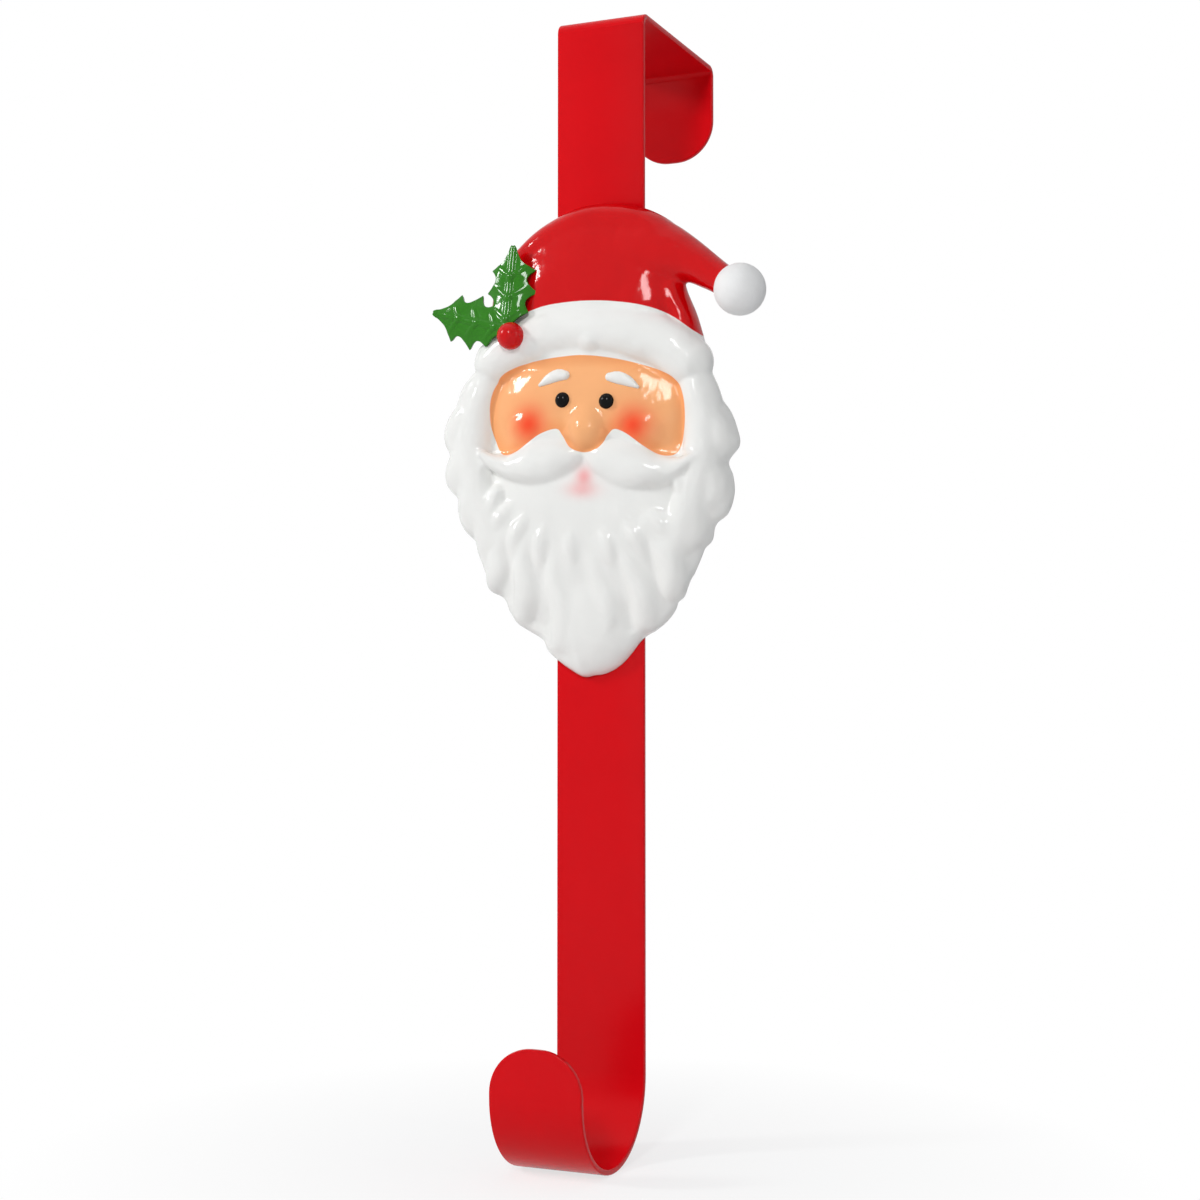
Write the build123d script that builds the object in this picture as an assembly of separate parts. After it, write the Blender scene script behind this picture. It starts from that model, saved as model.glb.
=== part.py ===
from build123d import *
import os
from math import atan2, cos, radians, sin, sqrt

# Strap: one strip of steel, bent over the door at the top and into a J at the bottom
STRAP_WIDTH = 25.4
STRAP_THICK = 1.5
TOTAL_HEIGHT = 305.0
DOOR_GAP = 52.0
BACK_PLATE = 27.3
BEND_INSIDE = 1.5
CRADLE_INSIDE = 19.75
LIP_RISE = 12.7
END_CORNER = 11.5

# Head: a flat-backed casting on the front of the strap, a little aside and aslant
HEAD_DROP = 115.0
HEAD_ASIDE = -1.5
HEAD_TILT = 3.0

# Hat: crown and drooping tail in one outline, rounded to a bar that lies across
# Places round the outline: across, up, and how far the edge bulges out on its way to the next
HAT_OUTLINE = (
    (-31.4, 22.0, 0.0),
    (28.6, 22.0, 0.0),
    (29.6, 28.2, -0.6),
    (24.3, 41.8, 0.6),
    (25.6, 43.2, 0.3),
    (38.0, 34.6, 0.6),
    (42.0, 41.8, 0.6),
    (37.6, 45.2, -0.7),
    (21.7, 56.7, 7.0),
    (-19.4, 57.0, 3.2),
    (-32.0, 38.3, 0.8),
)
HAT_ROUND = 62.0
HAT_LEFT = (-50.0, 33.0, 6.2)
HAT_RIGHT = (60.0, 43.0, 10.0)

# Fur trim: an arched roll with round ends
TRIM_ARCH = 54.0
TRIM_UP = 29.6
TRIM_ROLL = 7.2
TRIM_LIFT = 3.6
TRIM_SPREAD = 33.7
TRIM_BARS = 5
TRIM_TUCK = 5.0
TRIM_SINK = -9.0

# Face: the front of a bar that lies across, with raised brows, eyes and nose on it
FACE_ROUND = 26.0
FACE_HALF = 29.0
FACE_UP = 7.0
FACE_HEIGHT = 9.2
BROW_OUTLINE = (
    (5.4, 14.8, 0.0),
    (15.5, 12.8, 1.9),
    (5.8, 17.0, 0.5),
)
BROW_PROUD = 1.3
EYE_RADIUS = 2.3
EYE_PLACE = (6.4, 9.6)
EYE_PROUD = 1.3
NOSE_TOP = (0.8, 11.0, 5.2)
NOSE_BALL = (0.8, 1.4, 7.2)
NOSE_SLIM = 3.6
NOSE_RADIUS = 5.7

# Moustache: the outline of one half, and the bar that its top is rounded to
MOUSTACHE_OUTLINE = (
    (-1.0, -6.2, 0.3),
    (6.6, -13.2, 0.9),
    (18.4, -14.6, 2.0),
    (32.0, -4.4, 0.0),
    (21.8, -4.6, 0.9),
    (7.5, 1.7, 0.0),
    (-1.0, 1.7, 0.0),
)
MOUSTACHE_ROUND = 10.5
MOUSTACHE_INNER = (-4.0, -5.6, 14.4)
MOUSTACHE_OUTER = (36.0, -8.0, 8.4)
LIP_HALF = 2.2
LIP_RADIUS = 2.4
LIP_PLACE = (-13.6, 6.3)

# Beard: a plate with a lobed edge, a swell under the mouth, and a lock of hair to each lobe
BEARD_ROUND = 30.0
BEARD_HALF = 24.0
BEARD_UP = -14.0
BEARD_HEIGHT = 8.0
BEARD_PLATE = 2.4
# Ends of the lobes, from the left temple round to the right
BEARD_OUTLINE = (
    (-35.4, 16.2, 2.4),
    (-40.0, 7.9, 4.2),
    (-41.7, -6.2, 3.4),
    (-38.2, -17.0, 2.7),
    (-30.9, -30.7, 2.3),
    (-23.2, -44.3, 2.1),
    (-11.8, -55.0, 0.9),
    (-5.0, -61.2, 2.6),
    (6.4, -61.4, 1.3),
    (17.7, -52.1, 3.4),
    (27.6, -39.6, 1.8),
    (32.1, -30.4, 1.8),
    (36.7, -22.1, 3.8),
    (38.8, -5.0, 4.8),
    (33.4, 14.7, 0.0),
)
LOCK_FATNESS = 0.62
LOCK_MOST = 10.0
LOCK_CREST = 4.8
LOCK_PAST = 2.0
ROOT_CREST = 7.2
ROOT_MIDDLE = -9.0
ROOT_ACROSS = 27.0
ROOT_DOWN = 12.5
SIDE_ABOVE = -16.0
SIDE_RUN = (0.8, 9.0)
TEMPLE_RADIUS = 5.0
TEMPLE_CREST = 8.4
TEMPLE_PLACES = ((28.4, -10.0), (32.4, -3.0), (32.6, 6.0), (29.6, 17.0))

# Ball at the end of the hat's tail
BALL_RADIUS = 6.8
BALL_PLACE = (41.9, 38.6, 7.0)
BALL_SEAT_GAP = 0.15
BALL_GORES = 7

# Holly: two leaves from one root, and a berry on the root
LEAF_HALF_WIDTH = 6.3
LEAF_THICK = 2.6
LEAF_CAMBER = 16.0
VEIN_HALF = 0.75
VEIN_RISE = 0.65
VEIN_SINK = 0.9
MIDRIB_END = 2.3
VEIN_REACH = 0.8
VEIN_SLANT = 0.7
SPINE_DIP = 0.8
SPINES = ((0.16, 0.72), (0.44, 1.0), (0.72, 0.78))
UPPER_LEAF_ROOT = (-23.4, 29.4, 9.8)
UPPER_LEAF_TIP = (-23.0, 51.8, 6.4)
LEFT_LEAF_ROOT = (-24.2, 28.8, 9.8)
LEFT_LEAF_TIP = (-47.4, 34.0, 6.6)
BERRY_RADIUS = 3.7
BERRY_PLACE = (-21.6, 26.8, 10.6)

FRONT_FACE = -(DOOR_GAP / 2 + STRAP_THICK)
STRAP_TOP = STRAP_THICK
REACH = 400.0
HEAD_FRAME = Plane(
    origin=(HEAD_ASIDE, FRONT_FACE, STRAP_TOP - HEAD_DROP),
    x_dir=(cos(radians(HEAD_TILT)), 0, -sin(radians(HEAD_TILT))),
    z_dir=(0, -1, 0),
)


def cut_out(places, height):
    """Upright block with an arched edge from each place to the next."""
    edge = []
    for (across, up, bulge), (next_across, next_up, _) in zip(places, [*places[1:], places[0]]):
        span = [(across, up), (next_across, next_up)]
        edge.append(SagittaArc(*span, -bulge) if bulge else Line(*span))
    return extrude(make_face(edge), height, dir=(0, 0, 1))


def bar(start, end, radius):
    """Plain round bar from one place to another."""
    run = Vector(*end) - Vector(*start)
    return Plane(origin=start, z_dir=run) * Pos(0, 0, run.length / 2) * Cylinder(radius, run.length)


def ridge(start, end, radius):
    """Round bar whose places are given by its crest."""
    ends = [(across, up, crest - radius) for across, up, crest in (start, end)]
    return bar(*ends, radius)


def bent_bar(places, radius):
    """Round bar in straight lengths, mitred where they meet."""
    start = Plane(origin=places[0], z_dir=Vector(*places[1]) - Vector(*places[0]))
    return sweep(start * Circle(radius), path=Polyline(*places), transition=Transition.RIGHT)


def ball(place, radius):
    """Ball in gores: what is shared by round bars that cross at its middle."""
    solid = Rot(90, 0, 0) * Cylinder(radius, 4 * radius)
    for gore in range(1, BALL_GORES):
        solid &= Rot(0, 0, gore * 180 / BALL_GORES) * Rot(90, 0, 0) * Cylinder(radius, 4 * radius)
    return Pos(*place) * solid


def strap():
    """Back plate, bridge over the door, long drop, J and lip, bent from one strip."""
    middle = (DOOR_GAP + STRAP_THICK) / 2
    bend = BEND_INSIDE + STRAP_THICK / 2
    cradle = CRADLE_INSIDE + STRAP_THICK / 2
    cradle_height = STRAP_TOP - TOTAL_HEIGHT + CRADLE_INSIDE + STRAP_THICK
    lip = -middle - 2 * cradle
    hook = FilletPolyline(
        (middle, STRAP_TOP - BACK_PLATE),
        (middle, STRAP_THICK / 2),
        (-middle, STRAP_THICK / 2),
        (-middle, cradle_height),
        radius=bend,
    )
    turn = ThreePointArc(
        (-middle, cradle_height),
        (-middle - cradle, cradle_height - cradle),
        (lip, cradle_height),
    )
    rise = Line((lip, cradle_height), (lip, cradle_height + LIP_RISE))
    path = Plane.YZ * (hook + turn + rise)
    start = Plane(origin=(0, middle, STRAP_TOP - BACK_PLATE), z_dir=(0, 0, 1))
    strip = sweep(start * Rectangle(STRAP_WIDTH, STRAP_THICK), path=path)
    corner = min(END_CORNER, 0.46 * STRAP_WIDTH, 0.92 * LIP_RISE)
    ends = [e for e in strip.edges().filter_by(Axis.Y) if e.length < 2 * STRAP_THICK]
    return fillet(ends, corner)


def hat():
    """Crown and tail, with the notch that lets the tail hang free of the crown."""
    return cut_out(HAT_OUTLINE, REACH) & ridge(HAT_LEFT, HAT_RIGHT, HAT_ROUND)


def trim():
    """Roll of fur in straight lengths that arch over the face and tuck in at both ends."""
    arch_up = TRIM_UP - TRIM_ARCH
    turns = [TRIM_SPREAD * (2 * step / TRIM_BARS - 1) for step in range(TRIM_BARS + 1)]
    turns = [turns[0] - TRIM_TUCK, *turns, turns[-1] + TRIM_TUCK]
    outs = [TRIM_SINK, *[TRIM_LIFT] * (TRIM_BARS + 1), TRIM_SINK]
    places = [
        (TRIM_ARCH * sin(radians(turn)), arch_up + TRIM_ARCH * cos(radians(turn)), out)
        for turn, out in zip(turns, outs)
    ]
    return bent_bar(places, TRIM_ROLL)


def face():
    """Rounded face with its brows, eyes, nose and lower lip."""
    middle = FACE_HEIGHT - FACE_ROUND
    ends = [(side * FACE_HALF, FACE_UP, middle) for side in (-1, 1)]
    pieces = [bar(*ends, FACE_ROUND)]
    brow = cut_out(BROW_OUTLINE, REACH) & bar(*ends, FACE_ROUND + BROW_PROUD)
    pieces += [brow, mirror(brow, about=Plane.YZ)]
    across, up = EYE_PLACE
    out = middle + sqrt(FACE_ROUND**2 - (up - FACE_UP) ** 2) + EYE_PROUD - EYE_RADIUS
    pieces += [Pos(side * across, up, out) * Sphere(EYE_RADIUS) for side in (-1, 1)]
    pieces.append(bar(NOSE_TOP, NOSE_BALL, NOSE_SLIM))
    pieces.append(Pos(*NOSE_BALL) * Sphere(NOSE_RADIUS))
    pieces.append(bar((-LIP_HALF, *LIP_PLACE), (LIP_HALF, *LIP_PLACE), LIP_RADIUS))
    return pieces


def moustache():
    """Two halves, each rounded along its length and lower towards its tip."""
    crest = ridge(MOUSTACHE_INNER, MOUSTACHE_OUTER, MOUSTACHE_ROUND)
    half = cut_out(MOUSTACHE_OUTLINE, REACH) & crest
    return [half, mirror(half, about=Plane.YZ)]


def lock(start, end, bulge):
    """Ridge of hair that runs from its root under the mouth out over the rim."""
    chord = Vector(*end) - Vector(*start)
    outward = Vector(chord.Y, -chord.X) / chord.length
    fat = min(LOCK_FATNESS * chord.length, LOCK_MOST)
    tip = (Vector(*start) + Vector(*end)) / 2 + outward * (bulge + LOCK_PAST)
    if tip.Y > SIDE_ABOVE:
        root = (SIDE_RUN[0] * tip.X, tip.Y + SIDE_RUN[1])
    else:
        angle = atan2(tip.Y - ROOT_MIDDLE, tip.X)
        root = (ROOT_ACROSS * cos(angle), ROOT_MIDDLE + ROOT_DOWN * sin(angle))
    return ridge((*root, ROOT_CREST), (tip.X, tip.Y, LOCK_CREST), fat)


def temple(side):
    """Roll of hair beside the face."""
    out = TEMPLE_CREST - TEMPLE_RADIUS
    places = [(side * across, up, out) for across, up in TEMPLE_PLACES]
    return bent_bar(places, TEMPLE_RADIUS)


def beard():
    """Flat plate with a swell and ridged locks on it, all cut to the lobed outline."""
    body = Box(REACH, REACH, 2 * BEARD_PLATE)
    swell = [(side * BEARD_HALF, BEARD_UP, BEARD_HEIGHT) for side in (-1, 1)]
    body += ridge(*swell, BEARD_ROUND)
    for (*start, bulge), (*end, _) in zip(BEARD_OUTLINE, BEARD_OUTLINE[1:]):
        body += lock(start, end, bulge)
    return body & cut_out(BEARD_OUTLINE, REACH)


def bearded_head():
    """All the relief as one casting, flat at the back, hollowed where the ball seats."""
    relief = beard()
    for piece in [hat(), temple(-1), temple(1), *face(), *moustache(), trim()]:
        relief += piece
    behind = Pos(0, 0, -REACH / 2) * Box(REACH, REACH, REACH)
    return relief - behind - ball(BALL_PLACE, BALL_RADIUS + BALL_SEAT_GAP)


def rib(start, end):
    """Three-sided rib that lies along a line."""
    run = Vector(*end) - Vector(*start)
    foot = Polyline((-VEIN_HALF, -VEIN_SINK), (VEIN_HALF, -VEIN_SINK), (0, VEIN_RISE), close=True)
    solid = extrude(make_face(foot), run.length, dir=(0, 0, 1))
    return Plane(origin=start, x_dir=Vector(0, 0, 1).cross(run), z_dir=run) * solid


def holly_leaf(root, tip):
    """Cambered leaf with hollow edges between its spines, and raised veins."""
    run = Vector(*tip) - Vector(*root)
    length = run.length
    side = Vector(0, 0, 1).cross(run)
    upper = [(share * length, width * LEAF_HALF_WIDTH) for share, width in SPINES]
    lower = [(along, -across) for along, across in reversed(upper)]
    corners = [(0, 0), *upper, (length, 0), *lower, (0, 0)]
    edge = [SagittaArc(a, b, -SPINE_DIP) for a, b in zip(corners, corners[1:])]
    camber = Rot(0, 90, 0) * Cylinder(LEAF_CAMBER, 4 * length)
    slab = extrude(make_face(edge), LEAF_THICK, dir=(0, 0, -1))
    leaf = slab & (Pos(0, 0, -LEAF_CAMBER) * camber)
    leaf += rib((MIDRIB_END, 0, 0), (length - MIDRIB_END, 0, 0))
    for along, across in [*upper, *lower]:
        reach = VEIN_REACH * across
        fall = LEAF_CAMBER - sqrt(LEAF_CAMBER**2 - reach**2)
        leaf += rib((along - VEIN_SLANT * abs(reach), 0, 0), (along, reach, -fall))
    return Plane(origin=root, x_dir=run, z_dir=run.cross(side)) * leaf


def holly_leaves(head):
    """Two leaves grown together at their root, shaped underneath to the hat and the trim."""
    upper = holly_leaf(UPPER_LEAF_ROOT, UPPER_LEAF_TIP)
    left = holly_leaf(LEFT_LEAF_ROOT, LEFT_LEAF_TIP)
    return upper + left - head


def holly_berry(head, leaves):
    """Round berry, seated on the trim and the root of the leaves."""
    return ball(BERRY_PLACE, BERRY_RADIUS) - head - leaves


os.makedirs("parts", exist_ok=True)
head = bearded_head()
leaves = holly_leaves(head)
berry = holly_berry(head, leaves)
export_step(strap(), "parts/hanger_strap.step")
export_step(HEAD_FRAME * head, "parts/bearded_head.step")
export_step(HEAD_FRAME * ball(BALL_PLACE, BALL_RADIUS), "parts/pom_pom.step")
export_step(HEAD_FRAME * leaves, "parts/holly_leaves.step")
export_step(HEAD_FRAME * berry, "parts/holly_berry.step")
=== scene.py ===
# %% [markdown]
# # A wreath hanger, dressed for its picture
# The real thing is a strip of steel, bent over the top of a door and turned up at its foot to carry
# a wreath. On its front sits a cast bearded head in glossy enamel, with holly and a ball on the hat.
# The construction model gives every piece its size and place. Here each piece gets its finish.

# %% Load the construction
from math import cos, pi, radians, sin

import bmesh
import bpy
import numpy as np
from mathutils import Matrix, Vector


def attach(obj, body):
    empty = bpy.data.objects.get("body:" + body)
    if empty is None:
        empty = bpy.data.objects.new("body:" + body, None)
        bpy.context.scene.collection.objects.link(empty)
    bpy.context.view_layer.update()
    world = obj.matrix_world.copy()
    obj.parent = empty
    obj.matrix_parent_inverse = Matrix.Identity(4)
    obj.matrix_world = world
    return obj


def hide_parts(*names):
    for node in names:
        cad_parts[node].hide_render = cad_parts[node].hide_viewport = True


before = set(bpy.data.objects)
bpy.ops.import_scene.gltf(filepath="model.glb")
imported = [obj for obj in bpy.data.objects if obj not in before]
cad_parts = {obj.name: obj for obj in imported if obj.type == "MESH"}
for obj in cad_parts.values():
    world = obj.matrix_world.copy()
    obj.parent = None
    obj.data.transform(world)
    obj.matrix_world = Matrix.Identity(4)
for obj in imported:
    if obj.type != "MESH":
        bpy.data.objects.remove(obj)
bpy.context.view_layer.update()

scene = bpy.context.scene
scene.view_settings.view_transform = "Standard"

# %% [markdown]
# ## One way to hand over a finished mesh
# Every piece is modelled in millimetres, because the sizes are then easy to read, and is turned into
# metres at its place at the end. The object itself stays at the origin, as the construction's own
# nodes do, so a pattern that reads object coordinates never slides.

# %% A helper that makes a piece
MM = 0.001


def make_piece(name, clay, place, finish, node):
    """Places a mesh made in millimetres, gives it its finish, and hides the construction node that it stands
    in for.
    """
    bmesh.ops.transform(clay, matrix=place, verts=clay.verts)
    mesh = bpy.data.meshes.new(name)
    clay.to_mesh(mesh)
    clay.free()
    mesh.shade_smooth()
    mesh.materials.append(finish)
    piece = bpy.data.objects.new(name, mesh)
    scene.collection.objects.link(piece)
    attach(piece, "root")
    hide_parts(node)
    triangles = sum(len(face.vertices) - 2 for face in mesh.polygons)
    print(name, "has", triangles, "triangles")
    return piece


# %% [markdown]
# ## Enamel
# All the paint on this object is thick, and most of it is glossy. Thick paint never dries quite level: it
# keeps broad shallow waves with small ripples on them, which bend the reflections, and a fine orange-peel
# skin. One node group makes all three, and every enamel uses it with its own strength. The group puts
# out a height for the bump and a tone that lightens and darkens the colour a little.

# %% Helpers for nodes
def feed(tree, socket, value):
    """Gives a socket a number or a colour, or links another socket to it."""
    if isinstance(value, tuple):
        socket.default_value = (*value, 1.0)
    elif isinstance(value, (int, float)):
        socket.default_value = value
    else:
        tree.links.new(value, socket)


def maths(tree, operation, *values, clamp=False):
    """Math node whose inputs are numbers or sockets; returns its output."""
    node = tree.nodes.new("ShaderNodeMath")
    node.operation = operation
    node.use_clamp = clamp
    for socket, value in zip(node.inputs, values):
        feed(tree, socket, value)
    return node.outputs[0]


def mix_colour(tree, amount, under, over, blend="MIX"):
    """Colour over another, by an amount; each is given as numbers or as a socket."""
    node = tree.nodes.new("ShaderNodeMix")
    node.data_type = "RGBA"
    node.blend_type = blend
    feed(tree, node.inputs["Factor"], amount)
    feed(tree, node.inputs["A"], under)
    feed(tree, node.inputs["B"], over)
    return node.outputs["Result"]


def noise(tree, place, scale, detail):
    """Noise texture at a place; returns its value."""
    node = tree.nodes.new("ShaderNodeTexNoise")
    node.inputs["Scale"].default_value = scale
    node.inputs["Detail"].default_value = detail
    tree.links.new(place, node.inputs["Vector"])
    return node.outputs["Fac"]


# %% The group for paint that did not dry quite level
WAVE_SCALE = 90.0
RIPPLE_SCALE = 330.0
PEEL_SCALE = 900.0
BLOTCH_SCALE = 55.0
RIPPLE_SHARE = 0.12
TONE_SPREAD = 0.10
TONE_LEAST = 0.95

paint_skin = bpy.data.node_groups.new("paint_skin", "ShaderNodeTree")
for title, kind, direction in (
    ("Place", "NodeSocketVector", "INPUT"),
    ("Waves", "NodeSocketFloat", "INPUT"),
    ("Peel", "NodeSocketFloat", "INPUT"),
    ("Height", "NodeSocketFloat", "OUTPUT"),
    ("Tone", "NodeSocketFloat", "OUTPUT"),
):
    paint_skin.interface.new_socket(title, in_out=direction, socket_type=kind)
given = paint_skin.nodes.new("NodeGroupInput").outputs
put_out = paint_skin.nodes.new("NodeGroupOutput").inputs

waves = maths(paint_skin, "MULTIPLY", noise(paint_skin, given["Place"], WAVE_SCALE, 1.0), given["Waves"])
peel = maths(paint_skin, "MULTIPLY", noise(paint_skin, given["Place"], PEEL_SCALE, 2.0), given["Peel"])
ripples = maths(paint_skin, "MULTIPLY", noise(paint_skin, given["Place"], RIPPLE_SCALE, 1.0), given["Waves"])
uneven = maths(paint_skin, "MULTIPLY_ADD", ripples, RIPPLE_SHARE, waves)
paint_skin.links.new(maths(paint_skin, "ADD", uneven, peel), put_out["Height"])
blotch = noise(paint_skin, given["Place"], BLOTCH_SCALE, 3.0)
tone = maths(paint_skin, "MULTIPLY_ADD", blotch, TONE_SPREAD, TONE_LEAST)
paint_skin.links.new(tone, put_out["Tone"])
print("paint_skin has", len(paint_skin.nodes), "nodes")

# %% [markdown]
# An enamel is then a shader with that group on it. The glossy ones mirror weakly on purpose: the
# surroundings are white on all sides, and a stronger mirror would wash out the reds and greens.

# %% Helpers that make an enamel from a colour or from a colour socket
BUMP_DEPTH = 0.0004
ROUGHNESS_SPREAD = 0.3
ENAMEL_GLOSS = 0.18


def start_finish(name):
    """Material with a Principled shader and the object's own coordinates."""
    finish = bpy.data.materials.new(name)
    finish.use_nodes = True
    tree = finish.node_tree
    shader = tree.nodes["Principled BSDF"]
    place = tree.nodes.new("ShaderNodeTexCoord").outputs["Object"]
    return finish, tree, shader, place


def lay_enamel(tree, shader, place, colour, roughness, gloss, waves, peel):
    """Paints a shader with a colour, and with the waves and the peel of thick paint."""
    skin = tree.nodes.new("ShaderNodeGroup")
    skin.node_tree = paint_skin
    skin.inputs["Waves"].default_value = waves
    skin.inputs["Peel"].default_value = peel
    tree.links.new(place, skin.inputs["Place"])
    tone = skin.outputs["Tone"]
    tree.links.new(mix_colour(tree, 1.0, colour, tone, "MULTIPLY"), shader.inputs["Base Color"])
    bump = tree.nodes.new("ShaderNodeBump")
    bump.inputs["Strength"].default_value = 1.0
    bump.inputs["Distance"].default_value = BUMP_DEPTH
    tree.links.new(skin.outputs["Height"], bump.inputs["Height"])
    tree.links.new(bump.outputs["Normal"], shader.inputs["Normal"])
    dullness = maths(tree, "MULTIPLY_ADD", tone, ROUGHNESS_SPREAD, roughness - ROUGHNESS_SPREAD)
    tree.links.new(dullness, shader.inputs["Roughness"])
    shader.inputs["Specular IOR Level"].default_value = gloss


def plain_enamel(name, colour, roughness, gloss, waves, peel):
    """Enamel of one colour."""
    finish, tree, shader, place = start_finish(name)
    lay_enamel(tree, shader, place, colour, roughness, gloss, waves, peel)
    return finish


# %% [markdown]
# ## The strap
# In the factory the strap starts as a flat blank with round corners and is bent three times. The same
# order is used here: a rectangle gets its corners rounded, is thickened, has its edges broken, and only
# then is it wrapped along the bends. Modelling it bent from the start would make the round ends hard.

# %% The flat blank
STRIP_WIDTH = 25.4
STRIP_THICK = 1.49
END_CORNER = 11.5
CORNER_STEPS = 14
EDGE_BREAK = 0.4
EDGE_STEPS = 3
SHARP_ANGLE = 1.0
BACK_RUN = 24.3
HOOK_BEND = 2.25
BRIDGE_RUN = 49.0
DROP_RUN = 280.7
CRADLE_BEND = 20.5
LIP_RUN = 12.7

# Each stretch of the strip: its length and the angle by which it turns
bends = [
    (BACK_RUN, 0.0),
    (HOOK_BEND * pi / 2, pi / 2),
    (BRIDGE_RUN, 0.0),
    (HOOK_BEND * pi / 2, pi / 2),
    (DROP_RUN, 0.0),
    (CRADLE_BEND * pi, -pi),
    (LIP_RUN, 0.0),
]
blank_length = sum(run for run, turn in bends)

blank = bmesh.new()
stretch = Matrix.Diagonal((STRIP_WIDTH, blank_length, 1, 1))
bmesh.ops.create_grid(
    blank, x_segments=1, y_segments=1, size=0.5, matrix=Matrix.Translation((0, blank_length / 2, 0)) @ stretch
)
bmesh.ops.bevel(
    blank, geom=blank.verts[:], offset=END_CORNER, segments=CORNER_STEPS, profile=0.5,
    affect="VERTICES", material=-1,
)
raised = bmesh.ops.extrude_face_region(blank, geom=blank.faces[:])
moved = [part for part in raised["geom"] if isinstance(part, bmesh.types.BMVert)]
bmesh.ops.translate(blank, verts=moved, vec=(0, 0, STRIP_THICK))
bmesh.ops.translate(blank, verts=blank.verts, vec=(0, 0, -STRIP_THICK / 2))
bmesh.ops.recalc_face_normals(blank, faces=blank.faces)
rims = [edge for edge in blank.edges if edge.calc_face_angle() > SHARP_ANGLE]
bmesh.ops.bevel(
    blank, geom=rims, offset=EDGE_BREAK, segments=EDGE_STEPS, profile=0.5,
    affect="EDGES", material=-1, clamp_overlap=True,
)
print("blank is", round(blank_length, 1), "mm long with", len(blank.faces), "faces")

# %% [markdown]
# A bend needs cuts across the strip to bend at, so planes cut it first, every few degrees of turn. Every
# point is then carried to its place on the bent middle line. Weighted normals keep the flat faces evenly
# lit up to the broken edges.

# %% Bend the blank
BEND_STEP = radians(5)
END_MARGIN = 0.01
# Where the strip begins, at the lower end of the back plate: backwards and upwards
BLANK_START = (26.75, -25.8)
STRAP_RED = (0.68, 0.002, 0.006)
STRIP_GLOSS = 0.12
FACE_WEIGHT = 100

starts = np.cumsum([0.0] + [run for run, turn in bends])
for begin, (run, turn) in zip(starts, bends):
    steps = max(1, round(abs(turn) / BEND_STEP))
    for step in range(steps + 1):
        at = begin + run * step / steps
        if END_MARGIN < at < blank_length - END_MARGIN:
            everything = blank.verts[:] + blank.edges[:] + blank.faces[:]
            bmesh.ops.bisect_plane(blank, geom=everything, plane_co=(0, at, 0), plane_no=(0, 1, 0))


def wrap(along):
    """Place and heading of the strip's middle line at a length along it, seen from its side."""
    where, heading = Vector(BLANK_START), pi / 2
    for run, turn in bends:
        part = min(along, run)
        if turn:
            radius = run / turn
            turned = heading + part / radius
            where += radius * Vector((sin(turned) - sin(heading), cos(heading) - cos(turned)))
            heading = turned
        else:
            where += part * Vector((cos(heading), sin(heading)))
        along -= part
        if along <= 0:
            break
    return where, heading


for vert in blank.verts:
    where, heading = wrap(vert.co.y)
    off = vert.co.z
    vert.co = (vert.co.x, where.x - off * sin(heading), where.y + off * cos(heading))
bmesh.ops.recalc_face_normals(blank, faces=blank.faces)

strap_finish = plain_enamel(
    "strap_red_enamel", STRAP_RED, roughness=0.26, gloss=STRIP_GLOSS, waves=0.25, peel=0.06
)
strap = make_piece("strap", blank, Matrix.Scale(MM, 4), strap_finish, "hanger_strap")
even = strap.modifiers.new("even_faces", "WEIGHTED_NORMAL")
even.weight = FACE_WEIGHT

# %% [markdown]
# ## The head: laying clay
# The pattern of such a casting is modelled in clay: lumps and rolls are laid on a board and smoothed
# into each other. The same is done here. A lump is a flattened ball. A roll is a row of balls along a
# curve, whose width changes on the way. Places are across, up and out from the middle of the head.

# %% Lumps and rolls of clay
HEAD_TILT = radians(3)
HEAD_MIDDLE = (-1.5, -27.5, -113.5)
SMALL_LUMP = 6
LARGE_LUMP = 14
THINNEST = 0.3
BEAD_STEP = 0.8

head_place = Matrix.Scale(MM, 4) @ Matrix(
    (
        (cos(HEAD_TILT), sin(HEAD_TILT), 0, HEAD_MIDDLE[0]),
        (0, 0, -1, HEAD_MIDDLE[1]),
        (-sin(HEAD_TILT), cos(HEAD_TILT), 0, HEAD_MIDDLE[2]),
        (0, 0, 0, 1),
    )
)


def lump(clay, across, up, out, wide, tall, deep):
    """Flattened ball of clay; the last three are half its size each way."""
    shape = Matrix.Translation((across, up, out)) @ Matrix.Diagonal((wide, tall, deep, 1))
    fineness = 3 if wide < SMALL_LUMP else 4 if wide < LARGE_LUMP else 6
    bmesh.ops.create_icosphere(clay, subdivisions=fineness, radius=1, matrix=shape)


def lay_lumps(clay, rows):
    """Lumps of clay, each a row of its place and its half sizes."""
    for row in rows:
        lump(clay, *row)


def smooth_rows(rows, step, closed=False):
    """Rows of numbers with smooth in-between rows, by a curve through all of them."""
    rows = np.array(rows, float)
    if closed:
        padded = np.vstack([rows[-1], rows, rows[0], rows[1]])
    else:
        padded = np.vstack([2 * rows[0] - rows[1], rows, 2 * rows[-1] - rows[-2]])
    found = []
    for before, start, end, after in zip(padded, padded[1:], padded[2:], padded[3:]):
        run = np.linalg.norm((end - start)[:2])
        for share in np.arange(0, 1, 1 / max(2, round(run / step))):
            curve = 2 * start + (end - before) * share
            curve += (2 * before - 5 * start + 4 * end - after) * share**2
            curve += (3 * start - before - 3 * end + after) * share**3
            found.append(curve / 2)
    if not closed:
        found.append(rows[-1])
    return np.array(found)


def join(clay, strand):
    """Adds a finished strand to the clay."""
    laid = bpy.data.meshes.new("strand")
    strand.to_mesh(laid)
    strand.free()
    clay.from_mesh(laid)
    bpy.data.meshes.remove(laid)


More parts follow.
